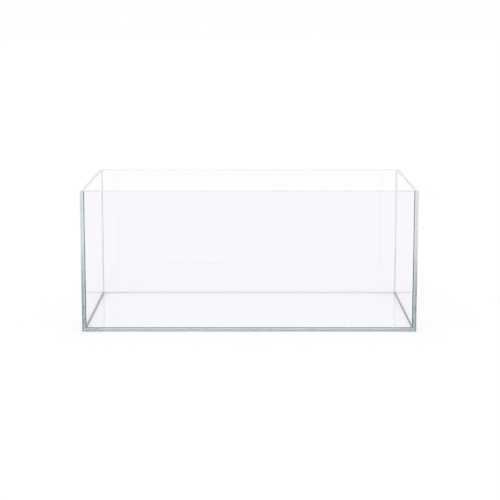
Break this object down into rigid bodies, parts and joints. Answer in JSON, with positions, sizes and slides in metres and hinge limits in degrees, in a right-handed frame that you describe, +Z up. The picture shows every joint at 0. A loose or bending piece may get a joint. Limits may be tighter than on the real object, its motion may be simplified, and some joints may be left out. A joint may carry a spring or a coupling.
{
  "type": "glass aquarium tank",
  "caption": "Rimless open-topped aquarium of clear glass panes, bonded edge to face with clear silicone and sealed inside with coved silicone beads.",
  "frame": {"origin": "on the floor under the middle of the tank's footprint", "axes": "+X to the right along the tank's length, +Y from the front pane to the rear pane, +Z up"},
  "size_m": [1.2, 0.6, 0.51],
  "materials": {
    "glass": "clear float glass with polished edges and ground arrises",
    "bond_silicone": "clear silicone, smooth",
    "bead_silicone": "translucent silicone, tooled smooth"
  },
  "bodies": {
    "root": {"front_pane": "glass", "rear_pane": "glass", "left_pane": "glass", "right_pane": "glass", "bottom_pane": "glass", "front_left_bond": "bond_silicone", "front_right_bond": "bond_silicone", "rear_left_bond": "bond_silicone", "rear_right_bond": "bond_silicone", "bottom_front_bond": "bond_silicone", "bottom_rear_bond": "bond_silicone", "bottom_left_bond": "bond_silicone", "bottom_right_bond": "bond_silicone", "front_left_bead": "bead_silicone", "front_right_bead": "bead_silicone", "rear_left_bead": "bead_silicone", "rear_right_bead": "bead_silicone", "bottom_front_bead": "bead_silicone", "bottom_rear_bead": "bead_silicone", "bottom_left_bead": "bead_silicone", "bottom_right_bead": "bead_silicone"}
  },
  "joints": []
}
